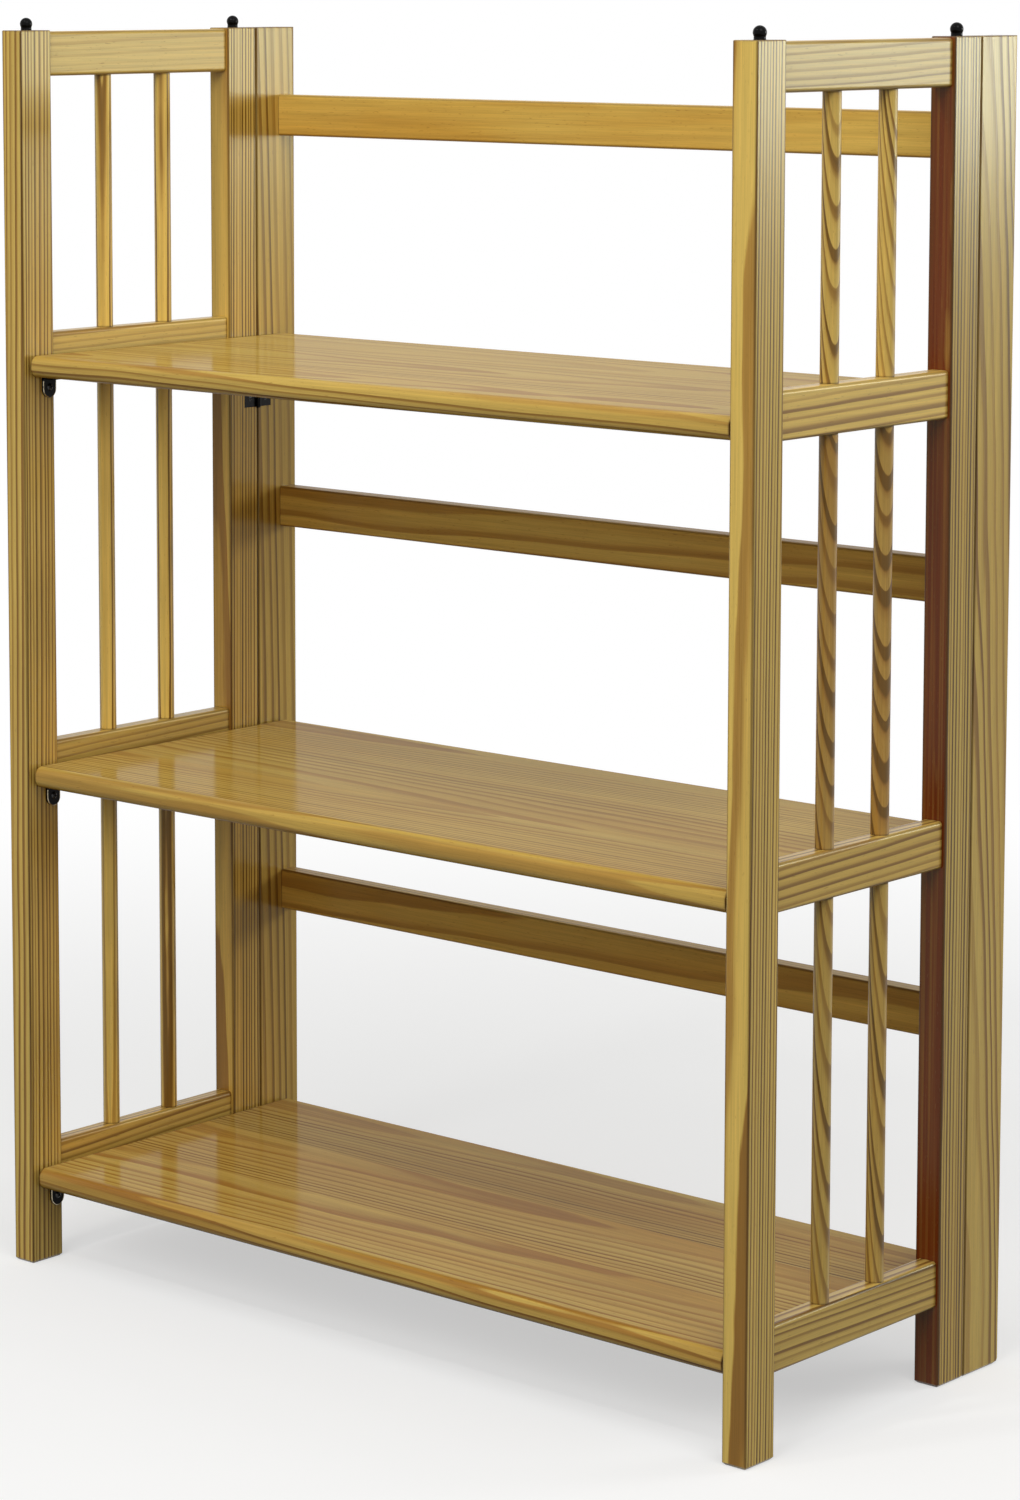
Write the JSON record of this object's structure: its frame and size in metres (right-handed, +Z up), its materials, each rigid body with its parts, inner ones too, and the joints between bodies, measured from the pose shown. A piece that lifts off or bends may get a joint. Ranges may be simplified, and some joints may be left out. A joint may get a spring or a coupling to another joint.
{
  "type": "folding bookcase",
  "caption": "Folding open-sided bookcase in clear-lacquered pine: spindled side frames hinged to a back frame, flat shelves that swing up on rear pivots, stacking pins on the posts.",
  "frame": {"origin": "on the floor, under the middle of the bookcase's bounding box", "axes": "+Z up, +Y towards the back, +X towards the right as seen from the front"},
  "size_m": [0.7, 0.295, 0.9443],
  "materials": {
    "frame_pine": "clear gloss lacquer on pine, upright grain",
    "shelf_pine": "clear gloss lacquer on edge-glued pine, lengthwise grain",
    "black_steel": "black satin enamel on steel",
    "pin_steel": "plain drawn steel",
    "pin_plastic": "black gloss"
  },
  "bodies": {
    "back_frame": {"left_back_stile": "frame_pine", "left_shelf_pivot_pins": "pin_steel", "left_stile_hinge_leaves": "black_steel", "left_hinge_pins": "black_steel", "right_back_stile": "frame_pine", "right_shelf_pivot_pins": "pin_steel", "right_stile_hinge_leaves": "black_steel", "right_hinge_pins": "black_steel", "bottom_back_rail": "frame_pine", "middle_back_rail": "frame_pine", "top_back_rail": "frame_pine"},
    "left_side_frame": {"left_front_post": "frame_pine", "left_rear_post": "frame_pine", "left_top_rail": "frame_pine", "left_upper_rail": "frame_pine", "left_middle_rail": "frame_pine", "left_bottom_rail": "frame_pine", "left_top_bay_spindles": "frame_pine", "left_middle_bay_spindles": "frame_pine", "left_bottom_bay_spindles": "frame_pine", "left_stacking_pins": "pin_plastic", "left_post_hinge_leaves": "black_steel", "left_shelf_rests": "black_steel"},
    "right_side_frame": {"right_front_post": "frame_pine", "right_rear_post": "frame_pine", "right_top_rail": "frame_pine", "right_upper_rail": "frame_pine", "right_middle_rail": "frame_pine", "right_bottom_rail": "frame_pine", "right_top_bay_spindles": "frame_pine", "right_middle_bay_spindles": "frame_pine", "right_bottom_bay_spindles": "frame_pine", "right_stacking_pins": "pin_plastic", "right_post_hinge_leaves": "black_steel", "right_shelf_rests": "black_steel"},
    "bottom_shelf": {"bottom_shelf": "shelf_pine"},
    "middle_shelf": {"middle_shelf": "shelf_pine"},
    "top_shelf": {"top_shelf": "shelf_pine"}
  },
  "joints": [
    {"name": "bottom_shelf_swing", "type": "hinge", "parent": "back_frame", "child": "bottom_shelf", "pos_m": [0, 0.1215, 0.0685], "axis": [-1, 0, 0], "range_deg": [0, 90]},
    {"name": "middle_shelf_swing", "type": "hinge", "parent": "back_frame", "child": "middle_shelf", "pos_m": [0, 0.1215, 0.3785], "axis": [-1, 0, 0], "range_deg": [0, 90]},
    {"name": "top_shelf_swing", "type": "hinge", "parent": "back_frame", "child": "top_shelf", "pos_m": [0, 0.1215, 0.6885], "axis": [-1, 0, 0], "range_deg": [0, 90]},
    {"name": "left_side_fold", "type": "hinge", "parent": "back_frame", "child": "left_side_frame", "pos_m": [-0.3288, 0.1032, 0], "axis": [0, 0, 1], "range_deg": [0, 0.75]},
    {"name": "right_side_fold", "type": "hinge", "parent": "back_frame", "child": "right_side_frame", "pos_m": [0.3288, 0.1032, 0], "axis": [0, 0, -1], "range_deg": [0, 0.75]}
  ]
}
